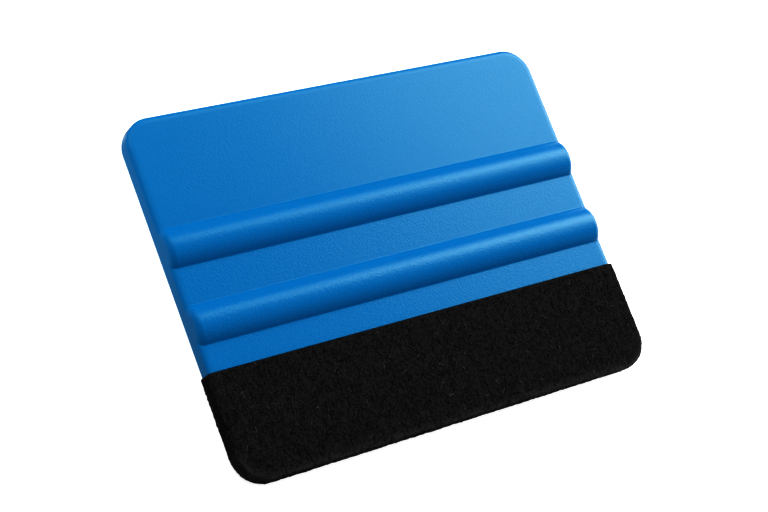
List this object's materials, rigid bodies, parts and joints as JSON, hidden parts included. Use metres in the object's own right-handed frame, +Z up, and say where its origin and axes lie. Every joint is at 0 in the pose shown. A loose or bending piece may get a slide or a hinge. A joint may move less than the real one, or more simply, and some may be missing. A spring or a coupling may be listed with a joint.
{
  "type": "felt-edge squeegee card",
  "caption": "Flat hand card for pressing film onto a surface, with rounded corners, raised grip ribs across its front face and felt wrapped round its working edge.",
  "frame": {"origin": "bottom centre of the object's box as it lies on its back: the plane of the felt's back face", "axes": "+X along the working edge, +Y from the felt edge to the grip edge, +Z up, out of the face with the grip ribs"},
  "size_m": [0.101, 0.0752, 0.0063],
  "materials": {
    "card_plastic": "fine moulded leather grain, satin",
    "adhesive": "clear pressure-sensitive film",
    "felt": "needled polyester felt with a short nap"
  },
  "bodies": {
    "root": {"blade_card": "card_plastic", "adhesive_film": "adhesive", "felt_cover": "felt"}
  },
  "joints": []
}
